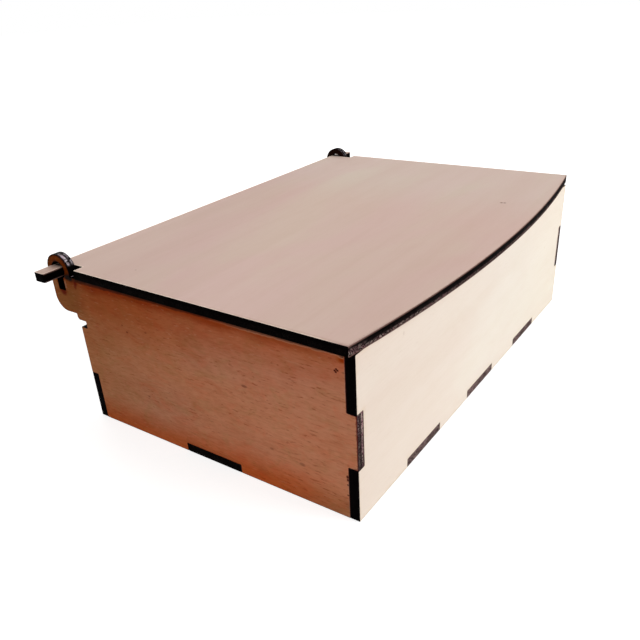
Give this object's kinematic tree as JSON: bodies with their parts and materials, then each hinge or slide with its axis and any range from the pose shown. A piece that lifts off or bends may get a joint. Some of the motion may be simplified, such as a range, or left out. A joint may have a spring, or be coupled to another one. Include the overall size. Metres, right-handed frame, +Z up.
{
  "type": "hinged lid wooden box",
  "caption": "Laser-cut plywood box with finger joints and a flat bowed lid that swings up on tabs held in ears at the back corners.",
  "frame": {"origin": "centre of the underside of the box, on the surface it stands on", "axes": "+X along the hinge to the box's right as seen from the front, +Y to the back, +Z up"},
  "size_m": [0.1824, 0.1237, 0.0594],
  "materials": {
    "front_ply": "bare pale plywood, laser-charred edges",
    "back_ply": "bare plywood, laser-charred edges",
    "side_ply": "bare warm brown plywood, laser-charred edges",
    "floor_ply": "bare plywood, laser-charred edges",
    "lid_ply": "bare smooth plywood, laser-charred edges"
  },
  "bodies": {
    "box": {"front_panel": "front_ply", "back_panel": "back_ply", "left_panel": "side_ply", "right_panel": "side_ply", "floor_panel": "floor_ply"},
    "lid": {"lid": "lid_ply"}
  },
  "joints": [
    {"name": "lid_hinge", "type": "hinge", "parent": "box", "child": "lid", "pos_m": [0, 0.0588, 0.054], "axis": [-1, 0, 0], "range_deg": [0, 90]}
  ]
}
